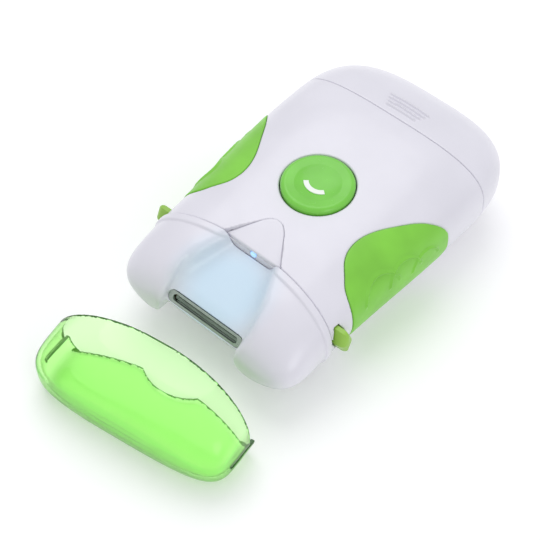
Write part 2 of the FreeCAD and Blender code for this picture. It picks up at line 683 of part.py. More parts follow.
def battery_parts():
    """Tray, cells, spring contacts and contact plates; the middle cell is turned round."""
    half = 1.5 * CELL_PITCH + 0.9
    rear = CELL_Y + CELL_LENGTH
    tray = box(-half, half, CELL_Y - 3.2, rear + 3.2, TRAY_Z, CELL_Z + 1.0)
    tray = tray.cut(box(-half + 0.8, half - 0.8, CELL_Y - 2.2, rear + 2.2, TRAY_Z + 1.3, BIG))
    cells = []
    springs = []
    plates = []
    nub = 0.8
    for index in range(3):
        x = (index - 1) * CELL_PITCH
        turned = index == 1
        cell = rod_y(CELL_Y + nub, rear - nub, x, CELL_Z, CELL_R)
        nub_y = CELL_Y if turned else rear - nub
        cells.append(cell.fuse(rod_y(nub_y, nub_y + nub, x, CELL_Z, 1.9)))
        if turned:
            springs.append(cell_spring(x, rear - nub + 0.02, 1, 2.0 + nub - 0.04))
        else:
            springs.append(cell_spring(x, CELL_Y + nub - 0.02, -1, 2.0 + nub - 0.04))
        for y in (CELL_Y - 2.2, rear + 2.0):
            plates.append(box(x - 4.2, x + 4.2, y, y + 0.2, CELL_Z - 4.0, CELL_Z + 4.0))
    return tray, Part.makeCompound(cells), Part.makeCompound(springs), Part.makeCompound(plates)


# ---------- clear cover ----------

def cover_section(y, grow):
    """Cross-section of the cover's outer form at y, as a closed curve."""
    front = COVER_FRONT_Y - grow
    half = (COVER_HALF + grow) * closing(y, -54.0, front, 4.5)
    rise = (COVER_TOP_Z - COVER_MIDDLE_Z + grow) * closing(y, COVER_ROUNDING_Y, front, 2.4)
    drop = COVER_MIDDLE_Z - COVER_BASE_Z + COVER_BASE_CUT + grow
    drop *= closing(y, -59.0, front, 2.2)
    points = []
    for index in range(SECTION_POINTS):
        angle = 2.0 * math.pi * index / SECTION_POINTS
        across = math.cos(angle)
        up = math.sin(angle)
        power = 2.8 if up >= 0.0 else 3.0
        height = rise if up >= 0.0 else drop
        scale = (abs(across) ** power + abs(up) ** power) ** (-1.0 / power)
        points.append(V(half * across * scale, y, COVER_MIDDLE_Z + height * up * scale))
    curve = Part.BSplineCurve()
    steps = [index / SECTION_POINTS for index in range(SECTION_POINTS + 1)]
    curve.interpolate(Points=points, PeriodicFlag=True, Parameters=steps)
    return Part.Wire(curve.toShape())


def cover_form(grow):
    """Closed solid of the cover's outer shape, open end included."""
    front = COVER_FRONT_Y - grow
    blunt = [0.994, 0.975, 0.94, 0.88, 0.80, 0.68, 0.52, 0.34, 0.16]
    depth = front - COVER_ROUNDING_Y
    cuts = [COVER_ROUNDING_Y + depth * part for part in blunt]
    open_end = [COVER_ROUNDING_Y + 2.0, COVER_ROUNDING_Y + 7.0]
    wires = [cover_section(y, grow) for y in cuts + open_end]
    return Part.makeLoft(wires, True, False)


def edge_cylinder(middle_y, z0, z1):
    """Everything in front of an opening edge that bows from its middle to the sides."""
    bow = middle_y - COVER_SIDE_EDGE_Y
    radius = (bow ** 2 + COVER_HALF ** 2) / (2.0 * bow)
    return rod_z(z0, z1, 0.0, middle_y - radius, radius)


def cover_axis():
    """A point on the axis between the cover's two places, and the axis's direction."""
    start = V(COVER_PLACE_ON[0], COVER_PLACE_ON[1], 0.0)
    end = V(COVER_PLACE_OFF[0], COVER_PLACE_OFF[1], -COVER_LOWERED)
    path = end - start
    direction = V(0.0, COVER_LOWERED / path.y, 1.0)
    direction.normalize()
    reach = 0.5 / math.tan(math.radians(COVER_TURN / 2.0))
    return start + path * 0.5 + direction.cross(path) * reach, direction


def front_cover():
    """Cover drawn on the head, then turned to where it lies in front of it."""
    skin = cover_form(0.0).common(above(COVER_BASE_Z))
    core = cover_form(-COVER_WALL).common(above(COVER_BASE_Z + COVER_WALL))
    wall = skin.cut(core)
    upper = wall.common(edge_cylinder(COVER_TOP_EDGE_Y, SLIT_HIGH_Z, BIG))
    lower = wall.common(edge_cylinder(COVER_LOW_EDGE_Y, -1.0, SLIT_LOW_Z))
    link = box(-BIG, BIG, -BIG, COVER_SIDE_EDGE_Y - SLIT_LENGTH, SLIT_LOW_Z, SLIT_HIGH_Z)
    cover = upper.fuse(lower).fuse(wall.common(link))
    notch = rod_z(0.0, COVER_BASE_Z + 2.0, 0, COVER_LOW_EDGE_Y - NOTCH_DEPTH + NOTCH_R, NOTCH_R)
    cover = cover.cut(notch)
    tab_zone = box(-BIG, BIG, COVER_SIDE_EDGE_Y - 1.5, COVER_SIDE_EDGE_Y + TAB_REACH, TAB_LOW_Z, SLIT_LOW_Z)
    cover = cover.fuse(wall.common(tab_zone))
    centre, direction = cover_axis()
    cover.rotate(centre, direction, COVER_TURN)
    return cover


# ---------- all pieces ----------

def build():
    os.makedirs("parts", exist_ok=True)
    outer = pebble(0.0)
    inner = pebble(-CASE_WALL)
    grip_skin = pebble(GRIP_RISE)
    arc_skin = pebble(GRIP_RISE + 0.35)
    grip_core = pebble(-GRIP_DEPTH)
    bead_skin = pebble(BEAD_RISE)

    body = body_casing(outer, inner)
    recess = grip_recess(grip_core)
    post = spring_posts()
    post = post.common(inner).fuse(mirrored(post).common(inner))
    save("top_shell", top_shell(body, recess).fuse(post))
    save("bottom_shell", bottom_shell(body, recess))
    save("housing_screws", housing_screws())
    grip = side_grip(grip_skin, grip_core)
    for arc in grip_arcs(arc_skin.cut(grip_core)):
        grip = grip.fuse(arc.common(grip_column(-1.0)))
    save("grip_right", grip)
    save("grip_left", mirrored(grip))
    save("rear_cap", rear_cap(outer, inner, bead_skin.cut(inner), pebble(-2.4), pebble(-3.6)))

    upper, lower = head_casings(outer, pebble(-HEAD_WALL), bead_skin, inner)
    lower = lower.fuse(bush_cradles(head_hollow(pebble(-HEAD_WALL))))
    save("head_upper", upper)
    save("head_lower", lower)
    save("slot_plate", slot_plate())
    save("brow", brow())
    led, led_board = lamp()
    save("lamp_led", led)
    save("lamp_board", led_board)

    save("cutter_drum", cutter_drum())
    save("drum_shaft", rod_x(-16.5, GEAR_X + GEAR_WIDTH + 1.0, DRUM_Y, DRUM_Z, SHAFT_R))
    save("drum_bushes", drum_bushes())
    save("drum_gear", gear(DRUM_Y, DRUM_Z, DRUM_GEAR_R, SHAFT_R, 14))
    body_centre, head_centre, head_r = train_points()
    print("body idler", body_centre, "head idler", head_centre, head_r)
    save("body_idler_gear", gear(body_centre[0], body_centre[1], BODY_IDLER_R, 1.05, 22))
    save("head_idler_gear", gear(head_centre[0], head_centre[1], head_r, 1.05, 18))
    save("body_idler_pin", rod_x(GEAR_X - 4.0, GEAR_X + GEAR_WIDTH + 6.0, *body_centre, 1.0))
    save("head_idler_pin", rod_x(GEAR_X - 2.5, GEAR_X + GEAR_WIDTH + 6.0, *head_centre, 1.0))
    save("motor_pinion", gear(MOTOR_Y, MOTOR_Z, PINION_R, SHAFT_R, 10))
    can, cap, shaft, cradle = motor_parts()
    save("motor_can", can)
    save("motor_end_cap", cap)
    save("motor_shaft", shaft)
    save("motor_bracket", cradle)

    save("power_button", power_button().cut(power_mark()))
    save("power_mark", power_mark())
    save("release_right", release_button(1))
    save("release_left", release_button(-1))
    save("release_springs", release_springs())
    plunger, switch_body, switch_board = switch_parts()
    save("switch_plunger", plunger)
    save("switch_body", switch_body)
    save("switch_board", switch_board)

    tray, cells, springs, plates = battery_parts()
    save("battery_tray", tray)
    save("battery_cells", cells)
    save("battery_springs", springs)
    save("battery_plates", plates)

    save("front_cover", front_cover())


build()
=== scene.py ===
import json
import math

import bpy
import numpy as np
from mathutils import Matrix, Vector


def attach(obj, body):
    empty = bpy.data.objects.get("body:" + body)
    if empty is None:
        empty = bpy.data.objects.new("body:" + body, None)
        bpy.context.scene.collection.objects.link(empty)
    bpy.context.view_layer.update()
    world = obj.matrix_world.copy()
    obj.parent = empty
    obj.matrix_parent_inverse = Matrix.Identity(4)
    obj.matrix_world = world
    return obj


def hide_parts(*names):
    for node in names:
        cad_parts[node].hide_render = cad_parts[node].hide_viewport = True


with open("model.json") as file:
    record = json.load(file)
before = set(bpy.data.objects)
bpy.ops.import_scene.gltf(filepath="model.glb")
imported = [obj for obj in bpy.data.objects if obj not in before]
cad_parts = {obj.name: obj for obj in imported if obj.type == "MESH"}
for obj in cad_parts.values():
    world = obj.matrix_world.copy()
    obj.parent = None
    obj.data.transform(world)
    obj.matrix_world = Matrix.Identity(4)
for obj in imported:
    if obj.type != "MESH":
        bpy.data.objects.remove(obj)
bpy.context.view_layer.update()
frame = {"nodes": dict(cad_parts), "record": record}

MM = 0.001
BIG = 500.0               # taken off a cut where it must have no effect

# Casing shape, in millimetres, to match the CAD part
REAR_Y = 62.0
FRONT_Y = -56.5
SPLIT_Z = 14.0
HEAD_FLOOR_Z = 6.0
CASE_WALL = 1.8
HEAD_WALL = 1.6
HALF_WIDTH_FRONT = 34.4
HALF_WIDTH_GAIN = 2.3     # how much wider it is towards the rear
TOP_Z = 36.0
TOP_BOW = 0.0011          # how fast the top falls away from its highest line
LOWER_POWER = 1.85        # squareness of the lower half of a cross-section
BASE_CUT = 6.0
SEAM_R = 150.0
SEAM_CENTRE_Y = -180.0
SEAM_GAP = 0.09
BEAD_RISE = 0.6
BEAD_WIDTH = 2.65
TIP_CUT = 0.2             # how much of each tip is blunted
CAP_SEAM_Y = 37.3
CAP_SEAM_GAP = 0.1
RIB_COUNT = 4
RIB_PITCH = 1.7
RIB_RISE = 0.75
RIB_BOW_R = 59.65
RIB_CENTRE_Y = -14.0
TONGUE_END_Y = 41.0
TONGUES = ((2.4, 33.6, 2.2), (1.5, 38.8, 1.5))     # depth under the skin, front y, floor z

SLOT_Y = -51.6
SLOT_Z = 19.8
SLOT_LENGTH = 25.5
PLATE_OPENING_HALF = 1.85
LIP_DROP = 2.45           # from the middle of the slot down the slot plane to the lip's edge
CHIN_BACK = 2.5
CHIN_DROP = 4.3
SCOOP_HALF = 14.6
VALLEY_SLOPE = 0.36
VALLEY_FRONT_Y = -50.1
VALLEY_FRONT_Z = 21.3

RELEASE_Y = -30.6
RELEASE_Z = 19.6
RELEASE_TIP_X = 38.2
RELEASE_HALF_Z = 4.3
SPRING_Y = -28.6
BUTTON_R = 11.5
BUTTON_GAP = 0.35
CUP_WALL = 1.7
CUP_BASE_Z = 30.8
CUP_TOP_Z = 34.0
CUP_FLOOR_Z = 32.2
PLUNGER_HOLE_R = 4.0
SCREW_PLACES = ((21.4, -6.5), (21.4, 29.5))
BOSS_R = 3.0
SCREW_HOLE_R = 1.1
SCREW_WELL_R = 2.6
SCREW_WELL_TOP_Z = 2.8
LAMP_Z = 29.5
LAMP_HOLE_R = 1.05
BROW_HALF = 10.0          # half its width at the front
BROW_FLOOR_Z = 30.6
BROW_FRONT_Y = -29.8
BROW_FRONT_Z = 31.6
BROW_SLOPE = 0.30

# Clear cover as it sits on the head, and the turn that takes it to where it lies
COVER_WALL = 1.3
COVER_HALF = 34.8
COVER_MIDDLE_Z = 14.0
COVER_TOP_Z = 30.6
COVER_BASE_Z = 4.35
COVER_BASE_CUT = 5.0
COVER_FRONT_Y = -68.6
COVER_TOP_EDGE_Y = -45.0
COVER_LOW_EDGE_Y = -41.8
COVER_SIDE_EDGE_Y = -50.5
SLIT_LOW_Z = 10.9
SLIT_HIGH_Z = 12.1
SLIT_LENGTH = 9.4
TAB_LOW_Z = 5.4
TAB_REACH = 2.5
NOTCH_R = 15.6
NOTCH_DEPTH = 4.4
COVER_TURN = 7.4          # degrees
COVER_ROUNDING_Y = -43.0
COVER_PLACE_ON = (0.0, -57.0)
COVER_PLACE_OFF = (1.2, -81.2)
COVER_LOWERED = 3.72

# Camera and view
CAMERA_AZIMUTH = 40.96    # degrees, as are the next two
CAMERA_ELEVATION = 52.54
CAMERA_ROLL = 0.16
CAMERA_TARGET = (1.79, -24.19, 18.0)
CAMERA_DISTANCE = 500.0
SENSOR_WIDTH = 36.0
VIEW_WIDTH = 540.0 / 3.282     # what the view takes in at the target, in millimetres


# ---------- fields: negative inside a solid, in millimetres ----------

def ease(value):
    """Smooth step from 0 to 1."""
    value = np.clip(value, 0.0, 1.0)
    return value * value * (3.0 - 2.0 * value)


def smooth_max(a, b, reach):
    """The larger of two fields, blended where they differ by less than reach."""
    share = np.clip(0.5 + 0.5 * (a - b) / reach, 0.0, 1.0)
    return b + (a - b) * share + reach * share * (1.0 - share)


def smooth_min(a, b, reach):
    """The smaller of two fields, blended where they differ by less than reach."""
    return -smooth_max(-a, -b, reach)


def largest(*fields):
    result = fields[0]
    for field in fields[1:]:
        result = np.maximum(result, field)
    return result


def closing(y, start, end, power):
    """Share of a half width or height that is left at y: 1 at start, almost 0 at end."""
    part = np.clip((y - start) / (end - start), 0.0, 1.0)
    return np.maximum(1.0 - part ** power, 1e-6) ** (1.0 / power)


def hull_level(x, y, z, grow):
    """Level of the pebble-shaped casing: 0 on its surface, without a scale."""
    rear = REAR_Y + grow
    front = FRONT_Y - grow
    half = HALF_WIDTH_FRONT + HALF_WIDTH_GAIN * ease((y + 30.0) / 55.0) + grow
    half = half * closing(y, 30.0, rear, 3.0) * closing(y, -36.0, front, 5.0)
    middle = 19.0 - 3.5 * ease((-25.0 - y) / 30.0)
    rise = TOP_Z - TOP_BOW * (y - 20.0) ** 2 + grow - middle
    rise = rise * closing(y, 25.0, rear, 2.6) * closing(y, -30.0, front, 2.3)
    drop = middle + BASE_CUT + grow
    drop = drop * closing(y, 35.0, rear, 2.5) * closing(y, -28.0, front, 1.9)
    upper = z >= middle
    power = np.where(upper, 2.6 + 0.5 * ease((y + 35.0) / 60.0), LOWER_POWER)
    across = np.minimum(np.abs(x) / half, 20.0)
    up = np.minimum(np.abs(z - middle) / np.where(upper, rise, drop), 20.0)
    return (across ** power + up ** power) ** (1.0 / power) - 1.0


def distance(level, x, y, z, grow):
    """Distance to the surface where a level function is 0, near that surface."""
    small = 0.05
    here = level(x, y, z, grow)
    slope_x = level(x + small, y, z, grow) - here
    slope_y = level(x, y + small, z, grow) - here
    slope_z = level(x, y, z + small, grow) - here
    slope = np.sqrt(slope_x ** 2 + slope_y ** 2 + slope_z ** 2) / small
    return here / np.maximum(slope, 0.01)


def hull(x, y, z):
    """Distance to the casing's outer surface, near that surface, with both tips blunted."""
    skin = distance(hull_level, x, y, z, 0.0)
    skin = smooth_max(skin, FRONT_Y + TIP_CUT - y, 1.0)
    return smooth_max(skin, y - REAR_Y + TIP_CUT, 1.0)


def seam(x, y):
    """Distance behind the bowed seam between head and body."""
    return np.sqrt(x * x + (y - SEAM_CENTRE_Y) ** 2) - SEAM_R


def rod(a, b, radius):
    """Distance outside a round rod, from the two coordinates across it."""
    return np.sqrt(a * a + b * b) - radius


def between(value, low, high):
    """Negative between two planes."""
    return np.maximum(low - value, value - high)


def hexagon(y, z):
    """Upright lozenge of a release button, seen from the side."""
    across = np.abs(y - RELEASE_Y)
    up = np.abs(z - RELEASE_Z)
    slanted = (RELEASE_HALF_Z * across + 1.9 * up - 11.61) / 4.70
    return np.maximum(up - RELEASE_HALF_Z, slanted)


def spline_table(knots):
    """Dense (y, x, slope) table of the natural cubic through knots given as (x, y)."""
    x = np.array([k[0] for k in knots])
    y = np.array([k[1] for k in knots])
    gap = np.diff(y)
    count = len(y)
    matrix = np.eye(count)
    right = np.zeros(count)
    for i in range(1, count - 1):
        matrix[i, i - 1:i + 2] = gap[i - 1], 2.0 * (gap[i - 1] + gap[i]), gap[i]
        right[i] = 6.0 * ((x[i + 1] - x[i]) / gap[i] - (x[i] - x[i - 1]) / gap[i - 1])
    bend = np.linalg.solve(matrix, right)
    dense = np.linspace(y[0], y[-1], 400)
    i = np.clip(np.searchsorted(y, dense, side="right") - 1, 0, count - 2)
    a = (y[i + 1] - dense) / gap[i]
    b = 1.0 - a
    bow = (a ** 3 - a) * bend[i] + (b ** 3 - b) * bend[i + 1]
    value = a * x[i] + b * x[i + 1] + bow * gap[i] ** 2 / 6.0
    return dense, value, np.gradient(value, dense)


GRIP_BORDER = ((36.0, -24.8), (31.0, -23.0), (26.8, -19.6), (23.8, -16.2), (22.0, -12.2),
               (21.8, -7.8), (23.8, -1.2), (27.4, 5.4), (31.2, 11.8), (34.6, 16.4), (38.0, 22.0))
GRIP_TABLE = spline_table(GRIP_BORDER)
GRIP_LOW_Z = 6.0
GRIP_DEPTH = 1.3
GRIP_RISE = 0.25
ARC_RISE = 0.55
GRIP_ARCS = ((-11.0, 21.0, 8.0), (-1.0, 20.5, 7.5), (8.0, 19.0, 6.5))     # centre y, z, radius


def grip_outline(x, y, z):
    """Upright column whose border is the grip's edge seen from above."""
    ys, xs, slopes = GRIP_TABLE
    inside = np.clip(y, ys[0], ys[-1])
    slope = np.interp(inside, ys, slopes)
    border = np.interp(inside, ys, xs) + slope * (y - inside)
    side = (border - np.abs(x)) / np.sqrt(1.0 + slope * slope)
    return smooth_max(side, GRIP_LOW_Z - z, 2.0)


def brow_outline(x, y):
    """Rounded triangle over the rear end of the valley."""
    right = 0.813 * (x - BROW_HALF) + 0.582 * (y - BROW_FRONT_Y)
    left = 0.813 * (-x - BROW_HALF) + 0.582 * (y - BROW_FRONT_Y)
    return smooth_max(right, left, 8.0) - 0.7


def casing(x, y, z):
    """Hollow body from the head seam to the rear cap, upper and lower halves together."""
    skin = hull(x, y, z)
    behind = seam(x, y)
    side = np.abs(x)
    solid = smooth_max(skin, -z, 1.2)
    solid = smooth_max(solid, SEAM_GAP - behind, 0.5)
    solid = smooth_max(solid, y - CAP_SEAM_Y, 0.5)
    hollow = largest(skin + CASE_WALL, CASE_WALL - z, SEAM_GAP + CASE_WALL - behind)
    shell = np.maximum(solid, -hollow)
    recess = smooth_min(-grip_outline(x, y, z), skin + GRIP_DEPTH, 0.3)
    shell = smooth_max(shell, recess, 0.45)
    for px, py in SCREW_PLACES:
        away = rod(side - px, y - py, 0.0)
        boss = largest(away - BOSS_R, skin + 1.0, 1.0 - z)
        hole = np.maximum(away - SCREW_HOLE_R, SCREW_WELL_TOP_Z - z)
        well = np.maximum(away - SCREW_WELL_R, z - SCREW_WELL_TOP_Z)
        shell = largest(np.minimum(shell, boss), -hole - BIG * (z > 21.0))
        shell = smooth_max(shell, -well, 0.3)
    from_button = rod(x, y, 0.0)
    cup = largest(from_button - BUTTON_R - CUP_WALL, CUP_BASE_Z - z, z - CUP_TOP_Z)
    shell = np.minimum(shell, np.maximum(cup, skin))
    room = np.maximum(from_button - BUTTON_R - BUTTON_GAP, CUP_FLOOR_Z - z)
    shell = smooth_max(shell, -room, 0.7)
    shell = np.maximum(shell, -(from_button - PLUNGER_HOLE_R) - BIG * (z < 25.0))
    post = largest(between(side, 24.0, 25.3), between(y, -30.6, -25.6), SPLIT_Z - z, skin + 1.0)
    shell = np.minimum(shell, post)
    pocket = np.maximum(brow_outline(x, y), BROW_FLOOR_Z - z)
    shell = smooth_max(shell, -pocket, 0.25)
    shell = np.maximum(shell, -np.maximum(rod(x, z - LAMP_Z, LAMP_HOLE_R), y + 20.0))
    shell = smooth_max(shell, -np.maximum(hexagon(y, z) - 0.3, 25.6 - side), 0.3)
    window = largest(between(x, 15.8, 21.2), between(y, -40.0, -27.0), between(z, 8.0, 26.0))
    return np.maximum(shell, -window)


def grip(x, y, z):
    """Soft side grip with overlapping raised arcs."""
    skin = hull(x, y, z)
    raised = np.zeros_like(x)
    for cy, cz, radius in GRIP_ARCS:
        off_line = np.abs(rod(y - cy, z - cz, radius - 0.4)) / 0.75
        fade = ease((z - cz - 0.2) / 2.0) * ease((radius * 0.9 - np.abs(y - cy) + 1.5) / 1.5)
        raised = np.maximum(raised, ease(1.0 - off_line) * fade)
    outer = skin - GRIP_RISE - ARC_RISE * raised
    solid = smooth_max(outer, grip_outline(x, y, z) + 0.08, 0.7)
    return np.maximum(solid, -(skin + GRIP_DEPTH - 0.02))


def rear_cap(x, y, z):
    """Battery cover with four bowed ribs and the tongue that plugs into the body."""
    skin = hull(x, y, z)
    ribs = np.zeros_like(x)
    for index in range(RIB_COUNT):
        off_line = np.abs(rod(x, y - RIB_CENTRE_Y, RIB_BOW_R - RIB_PITCH * index)) / 0.72
        reach = 7.8 - 0.7 * index
        ribs = np.maximum(ribs, ease(1.0 - off_line) * ease((reach + 0.4 - np.abs(x)) / 0.9))
    outer = skin - RIB_RISE * ribs * (z > 25.0)
    solid = smooth_max(smooth_max(outer, -z, 1.2), CAP_SEAM_Y + CAP_SEAM_GAP - y, 0.5)
    shell = np.maximum(solid, -np.maximum(skin + CASE_WALL, CASE_WALL - z))
    inside = np.maximum(skin + 3.6, 3.4 - z)
    for depth, front_y, floor_z in TONGUES:
        ring = largest(skin + depth, -inside, between(y, front_y, TONGUE_END_Y), floor_z - z)
        shell = np.minimum(shell, ring)
    return shell


def valley_height(x, y):
    """Height of the trough between the lobes, and how much longer its slope is than its rise."""
    floor = VALLEY_FRONT_Z + VALLEY_SLOPE * (y - VALLEY_FRONT_Y)
    far = np.interp(y, (-62.0, -50.0, -28.0), (15.5, 13.6, 6.8))
    spread = np.interp(y, (-50.0, -28.0), (1.0, 0.5))
    reach = (np.abs(x) - far) / spread
    bend = 1.5
    wall = 1.875 * bend * np.logaddexp(0.0, (reach - 1.0) / bend)
    steep = 1.875 / spread / (1.0 + np.exp(-(reach - 1.0) / bend))
    return floor + wall, np.sqrt(1.0 + steep ** 2 + 0.13)


def slot_front(y, z):
    """Distance in front of the slot plane, the lip, the chin and the underside, as one form."""
    root = math.sqrt(0.5)
    lip = (SLOT_Y - LIP_DROP * root, SLOT_Z - LIP_DROP * root)
    chin = (lip[0] + CHIN_BACK, lip[1] - CHIN_DROP)
    plane = root * (-(y - SLOT_Y) + (z - SLOT_Z))
    below_lip = (-CHIN_DROP * (y - lip[0]) - CHIN_BACK * (z - lip[1])) / 4.974
    below_chin = -0.6 * (y - chin[0]) - 0.8 * (z - chin[1])
    return smooth_max(smooth_max(plane, below_lip, 0.5), below_chin, 2.0)


def head_form(x, y, z):
    """Outer form of the head with its lobes, before the seam cuts it off."""
    skin = hull(x, y, z)
    behind = seam(x, y)
    side = np.abs(x)
    bead = smooth_max(skin - BEAD_RISE, -BEAD_WIDTH - behind, 0.8)
    form = smooth_min(skin, bead, 0.4)
    form = smooth_max(form, HEAD_FLOOR_Z - z, 1.5)
    height, scale = valley_height(x, y)
    form = smooth_max(form, (z - height) / scale, 2.2)
    scoop = smooth_min(slot_front(y, z), SCOOP_HALF - side, 1.6)
    form = smooth_max(form, scoop, 1.6)
    roof = 13.6 - np.maximum(side - SCOOP_HALF, 0.0)
    under = smooth_min((roof - z) * 0.75, -46.0 - y, 3.0)
    return smooth_max(form, under, 4.0)


def head(x, y, z):
    """Hollow head, upper and lower halves together, with the opening for the slot plate."""
    form = head_form(x, y, z)
    behind = seam(x, y)
    shell = smooth_max(form, behind + SEAM_GAP, 0.5)
    shell = np.maximum(shell, -(form + HEAD_WALL))
    root = math.sqrt(0.5)
    along = root * ((y - SLOT_Y) + (z - SLOT_Z))
    out = root * (-(y - SLOT_Y) + (z - SLOT_Z))
    ends = np.maximum(np.abs(x) - SLOT_LENGTH / 2.0, 0.0)
    opening = np.maximum(rod(ends, along, PLATE_OPENING_HALF), np.abs(out) - 3.0)
    shell = smooth_max(shell, -opening, 0.15)
    bearing = largest(between(np.abs(x), 13.0, 15.0), between(y, -47.7, -42.3), z - 13.9,
                      form + 0.5)
    return np.minimum(shell, bearing)


def brow(x, y, z):
    """Triangular hood with a flat top that slopes down to the front."""
    top = (z - BROW_FRONT_Z - BROW_SLOPE * (y - BROW_FRONT_Y)) / 1.044
    side = brow_outline(x, y) + 0.02
    solid = smooth_max(top, side, 0.6)
    solid = smooth_max(solid, BROW_FRONT_Y - y, 0.5)
    return np.maximum(solid, 30.62 - z)


def release_button(x, y, z):
    """Lozenge button with a rounded tip, on its stem, right-hand side."""
    knob = smooth_max(hexagon(y, z) + 0.05, x - RELEASE_TIP_X, 2.6)
    knob = np.maximum(knob, 31.0 - x)
    stem = largest(between(x, 27.3, 31.4), between(y, -31.0, -26.2), between(z, 17.2, 22.0))
    bore = np.maximum(rod(y - SPRING_Y, z - RELEASE_Z, 1.7), x - 31.6)
    return np.maximum(np.minimum(knob, stem), -bore)


def cover_level(x, y, z, grow):
    """Level of the cover's closed outer form, on the head."""
    front = COVER_FRONT_Y - grow
    half = (COVER_HALF + grow) * closing(y, -54.0, front, 4.5)
    rise = (COVER_TOP_Z - COVER_MIDDLE_Z + grow) * closing(y, COVER_ROUNDING_Y, front, 2.4)
    drop = COVER_MIDDLE_Z - COVER_BASE_Z + COVER_BASE_CUT + grow
    drop = drop * closing(y, -59.0, front, 2.2)
    upper = z >= COVER_MIDDLE_Z
    power = np.where(upper, 2.8, 3.0)
    across = np.minimum(np.abs(x) / half, 20.0)
    up = np.minimum(np.abs(z - COVER_MIDDLE_Z) / np.where(upper, rise, drop), 20.0)
    return (across ** power + up ** power) ** (1.0 / power) - 1.0


def behind_edge(x, y, middle_y):
    """Distance behind an opening edge that bows from its middle to the sides."""
    bow = middle_y - COVER_SIDE_EDGE_Y
    radius = (bow ** 2 + COVER_HALF ** 2) / (2.0 * bow)
    return rod(x, y - middle_y + radius, radius)


def cover_reach(x, y, z):
    """Negative where the cover's walls are kept: opening edges, slits, tabs and notch."""
    upper = np.maximum(behind_edge(x, y, COVER_TOP_EDGE_Y), SLIT_HIGH_Z - z)
    lower = np.maximum(behind_edge(x, y, COVER_LOW_EDGE_Y), z - SLIT_LOW_Z)
    link = np.maximum(y - COVER_SIDE_EDGE_Y + SLIT_LENGTH,
                      between(z, SLIT_LOW_Z - 1.0, SLIT_HIGH_Z + 1.0))
    tab = largest(COVER_SIDE_EDGE_Y - 1.5 - y, y - COVER_SIDE_EDGE_Y - TAB_REACH,
                  between(z, TAB_LOW_Z, SLIT_LOW_Z), 25.0 - np.abs(x))
    notch = rod(x, y - COVER_LOW_EDGE_Y + NOTCH_DEPTH - NOTCH_R, NOTCH_R)
    notch = np.maximum(notch, z - COVER_BASE_Z - 2.0)
    kept = np.minimum(np.minimum(upper, lower), np.minimum(link, tab))
    return np.maximum(kept, -notch)


def cover(x, y, z):
    """Clear cover with a notched lower wall, tabs and slits, on the head."""
    outer = distance(cover_level, x, y, z, 0.0)
    inner = distance(cover_level, x, y, z, -COVER_WALL)
    outer = smooth_max(outer, COVER_FRONT_Y + TIP_CUT - y, 1.0)
    inner = smooth_max(inner, COVER_FRONT_Y + COVER_WALL + TIP_CUT - y, 1.0)
    outer = smooth_max(outer, COVER_BASE_Z - z, 1.0)
    inner = smooth_max(inner, COVER_BASE_Z + COVER_WALL - z, 1.0)
    return smooth_max(np.maximum(outer, -inner), cover_reach(x, y, z), 0.3)


def laid_down(points, normals):
    """Cover's points and normals turned from the head to where it lies."""
    start = Vector((*COVER_PLACE_ON, 0.0))
    end = Vector((*COVER_PLACE_OFF, -COVER_LOWERED))
    path = end - start
    direction = Vector((0.0, COVER_LOWERED / path.y, 1.0)).normalized()
    reach = 0.5 / math.tan(math.radians(COVER_TURN / 2.0))
    centre = np.array(start + path * 0.5 + direction.cross(path) * reach)
    turn = np.array(Matrix.Rotation(math.radians(COVER_TURN), 3, direction))
    return (points - centre) @ turn.T + centre, normals @ turn.T


# ---------- meshes from fields ----------

def surface_net(field, low, high, step):
    """One vertex in every grid cell that the surface crosses, one quad round every crossed edge."""
    axes = [np.arange(a, b + step, step) for a, b in zip(low, high)]
    values = field(*np.meshgrid(*axes, indexing="ij"))
    cells = [n - 1 for n in values.shape]
    total = np.zeros(cells + [3])
    number = np.zeros(cells)
    for axis in range(3):
        others = [a for a in range(3) if a != axis]
        for corner in range(4):
            shift = [0, 0, 0]
            shift[others[0]] = corner & 1
            shift[others[1]] = corner >> 1
            first = tuple(slice(s, s + n) for s, n in zip(shift, cells))
            shift[axis] = 1
            second = tuple(slice(s, s + n) for s, n in zip(shift, cells))
            shift[axis] = 0
            a, b = values[first], values[second]
            crossed = (a < 0) != (b < 0)
            share = a[crossed] / (a[crossed] - b[crossed])
            place = np.tile(np.array(shift, float), (len(share), 1))
            place[:, axis] = share
            total[crossed] += place
            number[crossed] += 1
    active = number > 0
    index = np.full(cells, -1)
    index[active] = np.arange(active.sum())
    where = np.argwhere(active)
    points = np.array(low) + step * (where + total[active] / number[active][:, None])
    quads = []
    for axis in range(3):
        u, v = (axis + 1) % 3, (axis + 2) % 3
        lower = [slice(1, -1)] * 3
        lower[axis] = slice(0, -1)
        upper = list(lower)
        upper[axis] = slice(1, None)
        a, b = values[tuple(lower)], values[tuple(upper)]
        for starts_inside in (True, False):
            crossed = ((a < 0) == starts_inside) & ((b < 0) != starts_inside)
            at = np.argwhere(crossed)
            at[:, u] += 1
            at[:, v] += 1
            ring = []
            for du, dv in ((-1, -1), (0, -1), (0, 0), (-1, 0)):
                cell = at.copy()
                cell[:, u] += du
                cell[:, v] += dv
                ring.append(index[cell[:, 0], cell[:, 1], cell[:, 2]])
            if not starts_inside:
                ring.reverse()
            quads.append(np.stack(ring, 1))
    return points, np.concatenate(quads)


